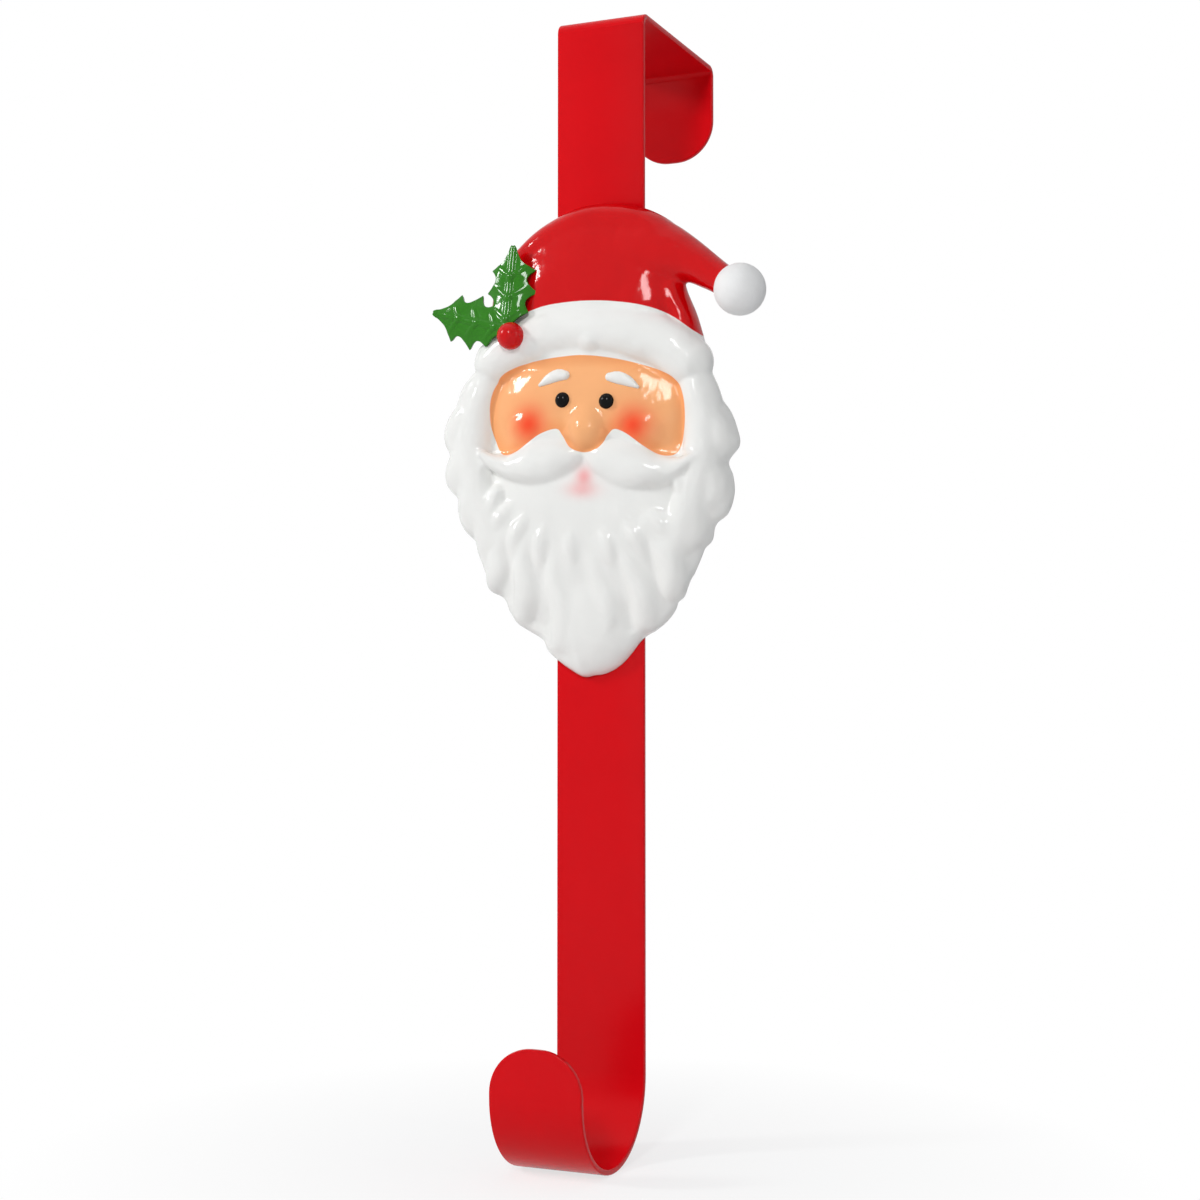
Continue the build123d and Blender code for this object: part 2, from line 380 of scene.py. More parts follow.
def roll(clay, rows, step=BEAD_STEP):
    """Roll of clay through rows of across, up, out, half width and half depth."""
    strand = bmesh.new()
    for across, up, out, wide, deep in smooth_rows(rows, step):
        wide = max(wide, THINNEST)
        lump(strand, across, up, out, wide, wide, max(deep, THINNEST))
    join(clay, strand)


def rim(clay, outline, out, wide, deep):
    """Roll of clay that lies just inside an outline, which has its inside on its left."""
    line = smooth_rows(outline, BEAD_STEP)
    heading = np.gradient(line, axis=0)
    heading /= np.linalg.norm(heading, axis=1)[:, None]
    inward = np.column_stack((-heading[:, 1], heading[:, 0]))
    strand = bmesh.new()
    for across, up in line + wide * inward:
        lump(strand, across, up, out, wide, wide, deep)
    join(clay, strand)


# %% [markdown]
# ### Hat and trim
# The crown is two broad low lumps inside rolled rims: a long one along the outline of the hat, and a short
# one where the hat flares out below its tail. The tail leaves the crown as a roll that narrows towards the
# ball, and so the notch between tail and flare stays open. The trim is a fat arched roll with softer lumps
# on it, because it stands for fur.

# %% Lay hat and trim
HAT_RIM = [
    (27.8, 51.4), (21.7, 56.7), (17.1, 59.9), (10.6, 62.6), (2.1, 63.9), (-6.4, 63.2), (-12.3, 61.0),
    (-19.4, 57.0), (-25.2, 51.9), (-29.5, 46.7), (-31.9, 38.3), (-32.0, 30.0),
]
HAT_FLARE = [(30.6, 26.0), (29.5, 29.2), (27.7, 33.9), (25.3, 38.7), (24.4, 41.0)]
CROWN = [(-3.2, 33.0, 0.6, 28.4, 29.6, 8.2), (10.0, 34.0, 0.6, 14.6, 18.0, 7.6)]
TAIL = [
    (3.0, 47.0, 0.4, 11.0, 5.6),
    (10.0, 49.4, 0.7, 10.2, 6.2),
    (16.0, 50.0, 1.0, 8.9, 6.0),
    (24.6, 47.9, 1.6, 6.0, 5.4),
    (31.6, 44.2, 2.4, 4.7, 4.8),
    (37.8, 40.6, 3.6, 4.0, 4.1),
]
TAIL_STEP = 0.5
TRIM = [
    (-28.6, 20.6, 3.2, 6.6, 6.0),
    (-22.5, 24.6, 3.6, 6.9, 6.4),
    (-12.0, 28.1, 3.8, 7.2, 6.5),
    (0.0, 28.9, 3.9, 7.3, 6.6),
    (11.0, 28.0, 3.8, 7.4, 6.6),
    (20.5, 25.2, 3.6, 7.3, 6.4),
    (27.2, 20.4, 3.2, 6.8, 6.0),
]
FUR_SEED = 24
FUR_STEP = 7.0
FUR_STRAY = 2.6
FUR_WIDE, FUR_TALL, FUR_RAISED = 6.0, 4.6, 1.0

clay = bmesh.new()
rim(clay, HAT_RIM, out=0.6, wide=4.6, deep=5.2)
rim(clay, HAT_FLARE, out=0.6, wide=3.8, deep=5.0)
lay_lumps(clay, CROWN)
roll(clay, TAIL, TAIL_STEP)
roll(clay, TRIM)
fur = np.random.default_rng(FUR_SEED)
for across, up, out, wide, deep in smooth_rows(TRIM, FUR_STEP):
    aside, above = fur.uniform(-1, 1, 2)
    up += FUR_STRAY * above
    lump(clay, across + aside, up, out + FUR_RAISED, FUR_WIDE, FUR_TALL, deep - FUR_RAISED)
print("hat and trim use", len(clay.verts), "vertices of clay")

# %% [markdown]
# ### Face and moustache
# The face is a broad lump with two cheeks. The nose is a short fat roll with a wing on each side. The
# moustache is two fat rolls that start under the nose and run out to turned-up tips, and two small lumps
# make the mouth below it.

# %% Lay face and moustache
FACE = (-0.6, 7.0, 0.2, 33.0, 21.5, 9.2)
CHEEK_LUMPS = [(-15.6, 2.6, 3.6, 9.5, 8.0, 5.2), (14.6, 2.6, 3.6, 9.5, 8.0, 5.2)]
NOSE = [
    (0.9, 10.6, 5.0, 3.4, 3.6),
    (1.0, 6.6, 5.9, 4.9, 4.2),
    (1.1, 2.6, 6.6, 6.0, 5.2),
    (1.2, 0.8, 6.4, 5.6, 5.2),
]
NOSE_STEP = 0.4
NOSE_WINGS = [(-3.1, 0.9, 6.6, 2.9, 2.9, 3.6), (5.5, 0.9, 6.6, 2.9, 2.9, 3.6)]
MOUSTACHE_LEFT = [
    (-0.6, -4.6, 5.6, 2.2, 3.6),
    (-5.6, -5.2, 5.0, 6.0, 5.4),
    (-12.0, -6.7, 4.6, 7.2, 5.8),
    (-17.2, -7.9, 4.6, 5.5, 5.6),
    (-22.0, -8.2, 4.8, 3.7, 4.4),
    (-26.6, -7.0, 5.6, 2.3, 3.4),
    (-30.4, -4.8, 6.4, 1.1, 2.2),
]
MOUSTACHE_RIGHT = [
    (1.6, -4.6, 5.6, 2.2, 3.6),
    (6.6, -5.5, 5.0, 6.2, 5.4),
    (12.6, -7.0, 4.6, 7.5, 5.8),
    (18.0, -8.6, 4.6, 5.8, 5.6),
    (23.0, -8.6, 4.8, 4.2, 4.4),
    (27.8, -7.2, 5.6, 2.5, 3.4),
    (31.8, -4.4, 6.4, 1.1, 2.2),
]
LIPS = [(0.5, -13.9, 6.3, 4.2, 1.9, 2.1), (0.9, -10.4, 6.0, 2.6, 2.6, 2.0)]

lump(clay, *FACE)
lay_lumps(clay, CHEEK_LUMPS)
roll(clay, NOSE, NOSE_STEP)
lay_lumps(clay, NOSE_WINGS)
roll(clay, MOUSTACHE_LEFT)
roll(clay, MOUSTACHE_RIGHT)
lay_lumps(clay, LIPS)
print("with the face, the clay has", len(clay.verts), "vertices")

# %% [markdown]
# ### Beard
# The beard is a low dome inside a rolled rim, with smooth hair beside the face and locks of hair on it.
# Each lock is a roll that swells on its way down, and the rim gives their ends the scalloped outline.
# Shorter locks lie over the roots of the long ones, as in the real casting.

# %% Lay the beard's outline, dome and smooth hair
BEARD_RIM = [
    (-34.6, 17.4), (-38.0, 13.2), (-40.0, 8.1), (-44.2, 3.4), (-45.2, -0.4), (-42.6, -5.2), (-44.3, -9.2),
    (-43.7, -13.4), (-39.3, -17.0), (-38.7, -22.1), (-36.2, -26.5), (-32.2, -30.4), (-31.3, -35.4),
    (-28.6, -39.8), (-24.0, -43.8), (-22.6, -47.4), (-18.0, -51.6), (-12.1, -54.6), (-10.6, -57.4),
    (-6.2, -60.8), (-1.4, -63.4), (0.6, -64.0), (3.0, -63.4), (7.4, -61.2), (12.8, -58.0), (16.3, -53.6),
    (18.6, -51.6), (23.0, -48.5), (26.0, -44.3), (26.6, -40.0), (30.7, -34.9), (31.8, -29.8), (35.1, -26.3),
    (36.0, -22.0), (39.2, -19.0), (40.7, -13.9), (40.1, -9.1), (38.7, -5.4), (41.5, -1.1), (40.7, 3.1),
    (38.5, 7.9), (34.6, 12.6), (33.4, 16.0),
]
DOME = [(0.0, -15.5, 0.2, 35.0, 40.0, 8.0), (2.6, -44.0, 0.2, 15.0, 19.4, 6.6)]
HAIR_LEFT = [
    (-30.6, 16.0, 2.0, 5.0, 5.6),
    (-34.0, 5.0, 2.0, 6.0, 5.8),
    (-34.4, -6.0, 2.0, 6.0, 5.8),
    (-31.0, -17.0, 2.0, 6.0, 5.8),
    (-25.6, -28.0, 1.8, 6.0, 5.4),
]
HAIR_RIGHT = [
    (29.4, 15.0, 2.0, 4.8, 5.6),
    (32.0, 5.0, 2.0, 5.6, 5.8),
    (32.2, -6.0, 2.0, 5.8, 5.8),
    (29.6, -17.0, 2.0, 6.0, 5.8),
    (24.8, -28.0, 1.8, 6.0, 5.4),
]

rim(clay, BEARD_RIM, out=0.0, wide=2.5, deep=3.5)
lay_lumps(clay, DOME)
roll(clay, HAIR_LEFT)
roll(clay, HAIR_RIGHT)
print("with the beard's ground, the clay has", len(clay.verts), "vertices")

# %% Lay the locks at the sides, from beside the face to the outline
def lay_locks(clay, locks):
    """Locks of hair, each a roll."""
    for rows in locks:
        roll(clay, rows)
    print("with", len(locks), "more locks, the clay has", len(clay.verts), "vertices")


SIDE_LOCKS = [
    [(-31.6, 17.0, 2.4, 3.4, 4.4), (-35.4, 12.4, 2.0, 4.0, 4.6), (-37.4, 7.6, 1.8, 3.8, 4.6)],
    [
        (-33.0, 9.0, 2.4, 3.6, 4.8), (-38.2, 4.6, 2.0, 4.6, 5.0),
        (-40.0, -0.4, 1.5, 4.4, 4.8), (-37.4, -5.0, 1.4, 2.8, 4.2),
    ],
    [
        (-32.6, 0.6, 2.4, 3.6, 4.8), (-36.6, -5.2, 2.0, 4.6, 5.0),
        (-38.8, -10.6, 1.5, 4.8, 4.8), (-36.0, -15.6, 1.2, 2.8, 4.2),
    ],
    [
        (-31.0, -8.0, 2.8, 3.4, 4.8), (-33.6, -15.0, 2.2, 4.8, 5.2),
        (-33.6, -21.6, 1.6, 4.9, 4.9), (-30.8, -26.6, 1.2, 2.8, 4.2),
    ],
    [
        (-25.6, -15.4, 3.0, 3.2, 4.8), (-28.4, -22.0, 2.4, 4.2, 5.2),
        (-28.6, -29.0, 1.7, 4.2, 4.9), (-27.6, -34.6, 1.0, 3.0, 4.2),
    ],
    [(30.6, 16.0, 2.4, 3.4, 4.4), (32.4, 11.4, 2.0, 3.8, 4.6), (33.6, 6.8, 1.8, 3.8, 4.6)],
    [
        (30.0, 8.0, 2.4, 3.6, 4.8), (34.0, 4.2, 2.0, 4.8, 5.0),
        (35.8, -0.8, 1.5, 4.8, 4.8), (33.4, -5.6, 1.4, 2.8, 4.2),
    ],
    [
        (30.4, -2.0, 2.4, 3.6, 4.8), (33.4, -7.6, 2.0, 4.8, 5.0),
        (35.0, -13.4, 1.5, 5.0, 4.8), (32.2, -18.4, 1.2, 2.8, 4.2),
    ],
    [
        (27.4, -11.0, 2.8, 3.4, 4.8), (30.0, -17.4, 2.2, 4.4, 5.2),
        (30.6, -23.6, 1.6, 4.4, 4.9), (28.0, -28.6, 1.2, 2.8, 4.2),
    ],
]
lay_locks(clay, SIDE_LOCKS)

# %% Lay the long locks, wavy and broad, down to the outline
LONG_LOCKS = [
    [
        (-20.0, -21.0, 2.6, 3.2, 4.6), (-23.8, -28.0, 2.4, 4.2, 5.0),
        (-24.4, -34.6, 1.9, 5.0, 4.9), (-25.6, -38.8, 1.0, 4.2, 4.2),
    ],
    [
        (-12.6, -23.0, 2.8, 3.2, 4.8), (-16.4, -32.0, 2.5, 4.5, 5.2),
        (-15.4, -41.0, 2.0, 5.2, 5.1), (-16.8, -47.0, 1.0, 4.6, 4.2),
    ],
    [
        (-5.0, -25.0, 2.8, 3.2, 4.8), (-7.2, -36.0, 2.5, 4.5, 5.2),
        (-4.4, -46.4, 2.0, 5.0, 5.0), (-5.4, -54.8, 1.0, 4.2, 4.2),
    ],
    [
        (3.0, -25.0, 2.8, 3.2, 4.8), (4.8, -35.0, 2.5, 4.5, 5.2),
        (8.2, -45.4, 2.0, 5.2, 5.0), (6.2, -54.8, 1.0, 4.8, 4.2),
    ],
    [
        (10.6, -24.0, 2.8, 3.2, 4.8), (14.2, -33.0, 2.5, 4.4, 5.2),
        (18.4, -42.0, 1.9, 4.9, 5.0), (18.0, -47.4, 1.0, 4.2, 4.2),
    ],
    [
        (18.0, -22.0, 2.8, 3.2, 4.8), (22.6, -28.6, 2.4, 4.2, 5.0),
        (25.4, -34.2, 1.9, 4.6, 4.9), (25.0, -39.2, 1.0, 3.8, 4.2),
    ],
    [(1.6, -46.0, 1.8, 4.0, 4.6), (-0.2, -53.0, 1.4, 3.8, 4.4), (0.6, -59.8, 0.6, 3.0, 3.8)],
]
lay_locks(clay, LONG_LOCKS)

# %% Lay shorter locks over the roots of the long ones
SHORT_LOCKS = [
    [(-20.0, -18.0, 3.6, 2.4, 3.4), (-24.2, -22.6, 4.3, 3.3, 3.8), (-26.6, -28.0, 2.6, 2.2, 3.3)],
    [(-14.6, -20.4, 3.9, 2.4, 3.4), (-18.8, -26.4, 4.7, 3.4, 3.8), (-19.8, -34.0, 2.8, 2.1, 3.3)],
    [(-8.4, -21.8, 4.1, 2.4, 3.4), (-11.4, -29.0, 4.8, 3.4, 3.8), (-10.6, -38.6, 2.8, 2.1, 3.3)],
    [(-1.8, -22.2, 4.2, 2.4, 3.4), (-2.4, -29.6, 4.9, 3.4, 3.8), (0.2, -39.6, 2.8, 2.1, 3.3)],
    [(5.0, -22.0, 4.1, 2.4, 3.4), (8.4, -28.6, 4.8, 3.4, 3.8), (10.2, -38.0, 2.8, 2.1, 3.3)],
    [(11.6, -20.8, 3.9, 2.4, 3.4), (16.4, -26.4, 4.7, 3.4, 3.8), (19.2, -34.0, 2.8, 2.1, 3.3)],
    [(17.8, -18.6, 3.6, 2.3, 3.4), (23.0, -22.8, 4.3, 3.3, 3.8), (26.6, -28.0, 2.6, 2.2, 3.3)],
]
lay_locks(clay, SHORT_LOCKS)

# %% [markdown]
# ### Fusing the clay
# The lumps still pass through each other. A voxel remesh fills them like a mould and gives one skin over
# all of them. Smoothing then rounds the valleys, as the thick enamel does. Last, a plane cuts the back
# flat, because the casting sits flat on the strap, and the cut is filled.

# %% Fuse, soften and cut the back flat
GRAIN = 0.42
SOFTENING = 9


def fuse(lumps, grain, softening):
    """One skin over all the lumps, softened."""
    rough = bpy.data.meshes.new("lumps")
    lumps.to_mesh(rough)
    lumps.free()
    holder = bpy.data.objects.new("lumps", rough)
    scene.collection.objects.link(holder)
    mould = holder.modifiers.new("mould", "REMESH")
    mould.mode = "VOXEL"
    mould.voxel_size = grain
    soften = holder.modifiers.new("soften", "SMOOTH")
    soften.factor = 0.5
    soften.iterations = softening
    finished = holder.evaluated_get(bpy.context.evaluated_depsgraph_get())
    skin_mesh = bpy.data.meshes.new_from_object(finished)
    skin = bmesh.new()
    skin.from_mesh(skin_mesh)
    bpy.data.objects.remove(holder)
    bpy.data.meshes.remove(rough)
    bpy.data.meshes.remove(skin_mesh)
    return skin


def cut_flat(skin):
    """Cuts away what lies behind the flat back, and closes the cut."""
    everything = skin.verts[:] + skin.edges[:] + skin.faces[:]
    bmesh.ops.bisect_plane(skin, geom=everything, plane_co=(0, 0, 0), plane_no=(0, 0, 1), clear_inner=True)
    open_rim = [edge for edge in skin.edges if edge.is_boundary]
    bmesh.ops.holes_fill(skin, edges=open_rim, sides=0)


head = fuse(clay, GRAIN, SOFTENING)
cut_flat(head)
print("the head's skin has", len(head.verts), "vertices")

# %% [markdown]
# ### Where the colours meet
# One casting carries three colours, and a brush follows the valleys between the forms. Each colour's
# edge is a closed curve through a few places. Every point of the skin keeps how far it is inside each
# curve, as an attribute, and the material turns that distance into a sharp edge. This gives a finer line
# than the mesh has faces.

# %% Draw the painted lines
FACE_LINE = [
    (-26.2, 15.8), (-21.2, 18.8), (-14.6, 20.5), (-6.8, 21.5), (-0.3, 21.8), (8.2, 20.9), (15.3, 19.4),
    (21.1, 17.6), (25.0, 15.4), (27.4, 11.0), (28.0, 5.5), (27.3, 0.0), (25.6, -4.0), (21.8, -4.4),
    (17.7, -2.4), (12.9, 0.8), (9.4, 2.1), (7.8, 0.8), (5.4, -2.9), (1.4, -4.2), (-2.8, -3.1), (-5.6, 0.2),
    (-7.4, 2.0), (-12.0, 0.9), (-15.6, -1.3), (-20.3, -4.3), (-24.8, -4.6), (-28.0, 0.0), (-29.1, 5.0),
    (-28.6, 11.0),
]
HAT_LINE = [
    (-60, 20), (-38, 24), (-28, 29.4), (-22, 32.4), (-16, 34.4), (-11.5, 35.4), (-2.3, 36.2), (7.4, 36.0),
    (17.0, 34.5), (23.5, 31.9), (30.0, 27.6), (40, 22), (60, 22), (60, 90), (-60, 90),
]
FACE_LINE_STEP = 0.6
HAT_LINE_STEP = 2.0
face_line = smooth_rows(FACE_LINE, FACE_LINE_STEP, closed=True)
hat_line = smooth_rows(HAT_LINE, HAT_LINE_STEP, closed=True)


def inside_by(line, places):
    """How far each place is inside a closed line; less than nothing outside it."""
    nearest = np.full(len(places), np.inf)
    crossings = np.zeros(len(places), int)
    for start, end in zip(line, np.roll(line, -1, axis=0)):
        run = end - start
        share = np.clip((places - start) @ run / (run @ run), 0, 1)
        nearest = np.minimum(nearest, np.linalg.norm(places - start - share[:, None] * run, axis=1))
        level = (start[1] > places[:, 1]) != (end[1] > places[:, 1])
        with np.errstate(divide="ignore", invalid="ignore"):
            meets = start[0] + (places[:, 1] - start[1]) * run[0] / run[1]
        crossings += level & (places[:, 0] < meets)
    return np.where(crossings % 2 == 1, nearest, -nearest)


print("the face line has", len(face_line), "points and the hat line has", len(hat_line))

# %% [markdown]
# ### Softening some places more
# Hat, locks and the bridge of the nose are calmer on the real casting than the first smoothing leaves them.
# More rounds there give broad calm forms, while the moustache and the trim keep their shape.

# %% Soften hat, locks and bridge
BACK_MARGIN = 0.05
HAT_INSET = 1.0
HAT_ROUNDS = 36
SIDES_FROM, SIDES_BELOW = 30.5, 14
LOCKS_BELOW = -17
LOCK_ROUNDS = 17
BRIDGE_MIDDLE, BRIDGE_HALF = 1, 9
BRIDGE_FOOT, BRIDGE_TOP = 2.5, 16
BRIDGE_ROUNDS = 36


def soften_more(skin, wanted, rounds):
    """Smooths the wanted points of the skin once more, apart from the flat back."""
    chosen = [vert for vert, taken in zip(skin.verts, wanted) if taken and vert.co.z > BACK_MARGIN]
    for _ in range(rounds):
        bmesh.ops.smooth_vert(
            skin, verts=chosen, factor=0.5, use_axis_x=True, use_axis_y=True, use_axis_z=True
        )


spots = np.array([vert.co for vert in head.verts])
across, up = spots[:, 0], spots[:, 1]
on_hat = inside_by(hat_line, spots[:, :2]) > HAT_INSET
on_locks = (abs(across) > SIDES_FROM) & (up < SIDES_BELOW) | (up < LOCKS_BELOW)
on_bridge = (abs(across - BRIDGE_MIDDLE) < BRIDGE_HALF) & (up > BRIDGE_FOOT) & (up < BRIDGE_TOP)
for wanted, rounds in ((on_hat, HAT_ROUNDS), (on_locks, LOCK_ROUNDS), (on_bridge, BRIDGE_ROUNDS)):
    soften_more(head, wanted, rounds)
    print("softened", int(wanted.sum()), "points")

# %% Measure how far each point is inside the painted lines
spots = np.array([vert.co for vert in head.verts])
face_by = inside_by(face_line, spots[:, :2])
hat_by = inside_by(hat_line, spots[:, :2])
print("points inside the face line:", int((face_by > 0).sum()))
print("points inside the hat line:", int((hat_by > 0).sum()))

# %% [markdown]
# ### The head's enamel
# White is the ground colour. Red and peach are mixed over it inside their lines. The cheeks and the mouth
# are airbrushed: their colour fades out softly from a middle, so a smooth fall-off over the distance from
# that middle makes them. The head keeps its own across, up and out as an attribute for this.

# %% Helpers for brush and airbrush
EDGE_SOFTNESS = 0.16
EULER = 2.718


def read_attribute(tree, name, output):
    """Value that the piece's points carry."""
    node = tree.nodes.new("ShaderNodeAttribute")
    node.attribute_name = name
    return node.outputs[output]


def airbrush(tree, spot, across, up, wide, tall):
    """Soft round patch of paint: 1 in its middle, fading to 0."""
    parts = tree.nodes.new("ShaderNodeSeparateXYZ")
    tree.links.new(spot, parts.inputs[0])
    aside = maths(tree, "DIVIDE", maths(tree, "SUBTRACT", parts.outputs["X"], across), wide)
    above = maths(tree, "DIVIDE", maths(tree, "SUBTRACT", parts.outputs["Y"], up), tall)
    square = maths(tree, "ADD", maths(tree, "MULTIPLY", aside, aside), maths(tree, "MULTIPLY", above, above))
    return maths(tree, "POWER", EULER, maths(tree, "MULTIPLY", square, -1.0))


def add_patches(tree, spot, colour, patches, paint):
    """Colour with soft patches of paint airbrushed on it."""
    for across, up, wide, tall, strength in patches:
        patch = airbrush(tree, spot, across, up, wide, tall)
        colour = mix_colour(tree, maths(tree, "MULTIPLY", patch, strength), colour, paint)
    return colour


def painted_edge(tree, distance):
    """Sharp but not pixel-sharp edge of a brushed colour: 1 inside, 0 outside."""
    return maths(tree, "MULTIPLY_ADD", distance, 1 / EDGE_SOFTNESS, 0.5, clamp=True)


# %% Mix the head's colours
WHITE = (0.86, 0.86, 0.83)
RED = (0.62, 0.001, 0.003)
PEACH = (0.96, 0.46, 0.20)
PEACH_IN_SHADE = (0.90, 0.30, 0.09)
BLUSH = (0.95, 0.06, 0.015)
PINK = (0.93, 0.36, 0.36)
# Patches of colour: across, up, half width, half height and strength
CHEEKS = ((-15.9, 3.2, 5.0, 5.0, 0.95), (14.5, 3.2, 5.0, 5.0, 0.95))
MOUTH = ((0.9, -10.6, 2.3, 2.6, 0.8), (0.5, -14.0, 4.4, 2.2, 0.55))
# Painted shade: the peach is deeper at the edge of the face, where it dips beside the raised hair, and clears
# with every millimetre inwards
PAINTED_SHADE_AT_RIM = 0.55
PAINTED_SHADE_FADE = -0.16

head_finish, tree, shader, place = start_finish("head_enamel")
spot = read_attribute(tree, "head_spot", "Vector")
inside_face = read_attribute(tree, "face_by", "Fac")
inside_hat = read_attribute(tree, "hat_by", "Fac")
# Painted shade along the edge of the face, in a deeper peach
face_rim_painted_shade = maths(tree, "MULTIPLY_ADD", inside_face, PAINTED_SHADE_FADE, PAINTED_SHADE_AT_RIM, clamp=True)
skin_colour = mix_colour(tree, face_rim_painted_shade, PEACH, PEACH_IN_SHADE)
skin_colour = add_patches(tree, spot, skin_colour, CHEEKS, BLUSH)
colour = add_patches(tree, spot, WHITE, MOUTH, PINK)
colour = mix_colour(tree, painted_edge(tree, inside_face), colour, skin_colour)
colour = mix_colour(tree, painted_edge(tree, inside_hat), colour, RED)
lay_enamel(tree, shader, place, colour, roughness=0.10, gloss=ENAMEL_GLOSS, waves=2.6, peel=0.02)

casting = make_piece("casting", head, head_place, head_finish, "bearded_head")
for name, values in (("face_by", face_by), ("hat_by", hat_by)):
    kept = casting.data.attributes.new(name, "FLOAT", "POINT")
    kept.data.foreach_set("value", values.astype(np.float32))
kept = casting.data.attributes.new("head_spot", "FLOAT_VECTOR", "POINT")
kept.data.foreach_set("vector", spots.astype(np.float32).ravel())

# %% [markdown]
# The brush never reaches the back, which lies against the strap. It stays bare, a little duller than the
# enamel, and flat: without that, the soft shading of the front would run over the edge and stain it.

# %% Leave the back bare
# Only what fills the cut is larger than this, in square metres
BACK_AREA = 0.0005
BARE_WHITE = (0.74, 0.74, 0.71)

back_finish = plain_enamel("bare_back", BARE_WHITE, roughness=0.5, gloss=ENAMEL_GLOSS, waves=0.2, peel=0.2)
casting.data.materials.append(back_finish)
backs = [face for face in casting.data.polygons if face.area > BACK_AREA]
for face in backs:
    face.use_smooth = False
    face.material_index = 1
print("flat faces at the back:", len(backs))

# %% [markdown]
# ### Brows and eyes
# The brows are raised white commas, thick by the nose and thin outside. The eyes are round black beads.
# All four are so small that each is made finely, as its own piece, so that it stays crisp.

# %% Brows
# Along each brow: across, up and half width
BROWS = {
    "brow_left": [(-5.8, 16.4, 1.3), (-8.0, 16.4, 1.75), (-10.6, 15.4, 1.45), (-13.2, 13.8, 0.5)],
    "brow_right": [(7.0, 15.9, 1.2), (9.4, 15.7, 1.75), (12.2, 14.8, 1.45), (15.0, 13.3, 0.5)],
}
BROW_LEAST_DEEP, BROW_DEEP_SHARE = 0.5, 0.45
BROW_GRAIN = 0.15
BROW_SOFTENING = 4


def face_out(across, up):
    """How far the face stands out at a place."""
    face_across, face_up, face_base, wide, tall, deep = FACE
    height = 1 - ((across - face_across) / wide) ** 2 - ((up - face_up) / tall) ** 2
    return face_base + deep * height**0.5


brow_finish = plain_enamel("brow_enamel", WHITE, roughness=0.16, gloss=ENAMEL_GLOSS, waves=0.5, peel=0.03)
for name, rows in BROWS.items():
    lumps = bmesh.new()
    roll(
        lumps,
        [
            (across, up, face_out(across, up), wide, BROW_LEAST_DEEP + BROW_DEEP_SHARE * wide)
            for across, up, wide in rows
        ],
    )
    brow = fuse(lumps, BROW_GRAIN, BROW_SOFTENING)
    make_piece(name, brow, head_place, brow_finish, "bearded_head")

# %% Eyes
EYE_RADIUS = 2.1
EYE_FLATNESS = 0.75
EYE_SUNK = 0.2
EYE_GLOSS = 0.1
EYE_BLACK = (0.004, 0.004, 0.004)
EYES = {"eye_left": (-6.0, 9.7), "eye_right": (6.7, 9.4)}

eye_finish = plain_enamel("eye_enamel", EYE_BLACK, roughness=0.08, gloss=EYE_GLOSS, waves=0.1, peel=0.01)
for name, (across, up) in EYES.items():
    bead = bmesh.new()
    seat = Matrix.Translation((across, up, face_out(across, up) - EYE_SUNK))
    seat = seat @ Matrix.Diagonal((EYE_RADIUS, EYE_RADIUS, EYE_FLATNESS * EYE_RADIUS, 1))
    bmesh.ops.create_uvsphere(bead, u_segments=48, v_segments=24, radius=1, matrix=seat)
    make_piece(name, bead, head_place, eye_finish, "bearded_head")

# %% [markdown]
# ## Holly
# A holly leaf is a cupped blade with spines along its edge and raised veins. A fine grid takes that shape
# best: its rows are drawn in to the leaf's width at each length, then lifted into camber, edge waves
# and veins. Solidify gives it the thickness of a cast leaf.

# %% The shape of a leaf
LEAF_WIDTH = 6.4
LEAF_FULLNESS, LEAF_ROUNDNESS, LEAF_LEAN = 0.72, 0.62, 0.9
TIP_WIDTH = 0.02
# The last part of the leaf tapers by a share of its width
TAPER_FROM, TAPER_RUN, TAPER = 0.7, 0.3, 0.45
# Spines: where along the leaf, how long, and how far along the edge they spread
SPINE_AT = (0.20, 0.46, 0.72)
SPINE_LONG = (0.30, 0.36, 0.40)
SPINE_SPREAD = 0.13
SPINE_BASE = 0.4
CAMBER = 0.05
EDGE_WAVE, EDGE_WAVES = 0.35, 4.2
MIDRIB_HIGH = 0.4
VEIN_HIGH = 0.26
VEIN_HALF = 0.6
VEIN_MARGIN, VEIN_FADING = 0.4, 1.3
# A side vein leaves the midrib this far before its spine, and runs forward as it goes out
VEIN_LEAD, VEIN_SLANT = 2.2, 0.75


def leaf_half_width(share):
    """Half width of the leaf at a share of its length, with its spines."""
    if not 0 < share < 1:
        return TIP_WIDTH
    taper = 1 - TAPER * max(0, (share - TAPER_FROM) / TAPER_RUN)
    body = LEAF_FULLNESS * sin(pi * share**LEAF_LEAN) ** LEAF_ROUNDNESS * taper
    spines = sum(
        long * max(0, 1 - abs(share - at) / SPINE_SPREAD) ** 2 for at, long in zip(SPINE_AT, SPINE_LONG)
    )
    return LEAF_WIDTH * (body + spines * (SPINE_BASE + body))


def leaf_height(share, aside, length):
    """Camber, waves at the edge and raised veins of the leaf."""
    wave = EDGE_WAVE * sin(EDGE_WAVES * pi * share)
    height = -CAMBER * aside**2 + wave * (aside / LEAF_WIDTH) ** 2
    height += MIDRIB_HIGH * np.exp(-((aside / VEIN_HALF) ** 2))
    fading = min(1, VEIN_FADING * (1 - abs(aside) / (leaf_half_width(share) + VEIN_MARGIN)))
    for at in SPINE_AT:
        off = (share - at) * length + VEIN_LEAD - VEIN_SLANT * abs(aside)
        height += VEIN_HIGH * np.exp(-((off / VEIN_HALF) ** 2)) * fading
    return height


# %% Leaves
LEAF_GLOSS = 0.22
LEAF_BODY = 1.0
LEAF_GREEN = (0.024, 0.195, 0.004)
# Each leaf's root and tip
LEAVES = {
    "leaf_upper": ((-23.2, 29.0, 10.2), (-23.1, 51.4, 7.4)),
    "leaf_left": ((-23.8, 28.8, 10.2), (-46.6, 33.9, 7.0)),
}

